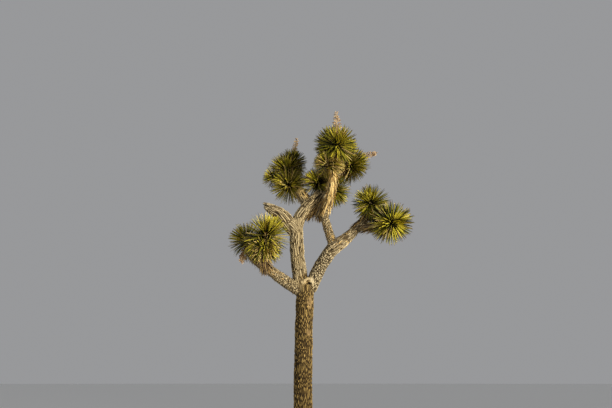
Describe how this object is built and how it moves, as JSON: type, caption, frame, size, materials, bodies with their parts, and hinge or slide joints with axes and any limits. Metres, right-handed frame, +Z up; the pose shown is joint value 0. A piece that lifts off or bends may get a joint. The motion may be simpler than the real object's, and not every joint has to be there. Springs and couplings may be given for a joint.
{
  "type": "joshua tree",
  "caption": "Desert tree with a slim fissured trunk, stout forking boughs, balls of stiff dagger-shaped leaves, hanging dead leaves and dry flower stalks.",
  "frame": {"origin": "middle of the flat cut under the trunk, at ground level", "axes": "+Z up the trunk, +X to the right of the picture, -Y towards its viewer"},
  "size_m": [2.8271, 1.8391, 5.7471],
  "materials": {
    "bark": "rough grey-tan bark in corky, fissured plates",
    "leaf": "stiff olive-green leaves with a faint sheen",
    "dead_leaf": "dry straw-coloured dead leaves",
    "flower_stalk": "dry, pale tan flower stalks with seed pods"
  },
  "bodies": {
    "root": {"bough_inner": "bark", "bough_left": "bark", "bough_left_stub": "bark", "bough_low_left": "bark", "bough_rear": "bark", "bough_right": "bark", "bough_right_upper": "bark", "bough_upper": "bark", "leaves_crown_far": "leaf", "leaves_crown_front": "leaf", "leaves_crown_left": "leaf", "leaves_crown_low": "leaf", "leaves_crown_lower": "leaf", "leaves_crown_rear": "leaf", "leaves_crown_right": "leaf", "leaves_crown_top": "leaf", "leaves_left_front": "leaf", "leaves_left_rear": "leaf", "leaves_rear_front": "leaf", "leaves_rear_left": "leaf", "leaves_rear_middle": "leaf", "leaves_rear_top": "leaf", "leaves_right_inner": "leaf", "leaves_right_outer": "leaf", "skirt_crown": "dead_leaf", "skirt_inner": "dead_leaf", "skirt_left": "dead_leaf", "skirt_rear": "dead_leaf", "skirt_right": "dead_leaf", "stalk_crown_right": "flower_stalk", "stalk_crown_top": "flower_stalk", "stalk_left": "flower_stalk", "stalk_rear_top": "flower_stalk", "stem_crown": "bark", "stem_crown_rear": "bark", "stem_crown_right": "bark", "stem_low_front": "bark", "stem_low_rear": "bark", "stem_rear_top": "bark", "stem_right_inner": "bark", "stem_right_outer": "bark", "trunk": "bark"}
  },
  "joints": []
}
